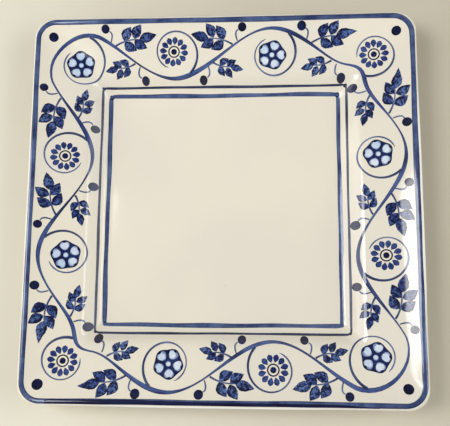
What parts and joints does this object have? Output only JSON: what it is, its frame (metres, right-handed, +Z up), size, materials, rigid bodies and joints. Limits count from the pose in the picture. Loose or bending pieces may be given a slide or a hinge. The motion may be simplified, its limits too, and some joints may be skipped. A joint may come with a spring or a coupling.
{
  "type": "square dinner plate",
  "caption": "Square glazed ceramic dinner plate with a flat well, a curved wall and a gently rising rim, a blue band along the edge, lines round the well and a painted scrolling border.",
  "frame": {"origin": "centre of the foot ring's bearing face, on the table under the middle of the plate", "axes": "+Z up, out of the well; X and Y run parallel to the plate's sides, and -Y is the side nearest the camera"},
  "size_m": [0.27, 0.27, 0.0293],
  "materials": {
    "clay": "matte",
    "glaze": "gloss",
    "cobalt": "gloss",
    "deep_cobalt": "gloss",
    "pale_cobalt": "gloss"
  },
  "bodies": {
    "root": {"clay_body": "clay", "face_glaze": "glaze", "base_glaze": "glaze", "rim_band": "cobalt", "band_lap": "deep_cobalt", "inner_well_line": "cobalt", "outer_well_line": "cobalt", "line_laps": "deep_cobalt", "vine": "cobalt", "scrolls": "cobalt", "sprig_stems": "cobalt", "large_leaves": "cobalt", "small_leaves": "cobalt", "rose_grounds": "deep_cobalt", "rose_petals": "pale_cobalt", "aster_petals": "cobalt", "aster_hearts": "deep_cobalt", "tendrils": "cobalt", "berries": "deep_cobalt", "corner_dots": "deep_cobalt"}
  },
  "joints": []
}
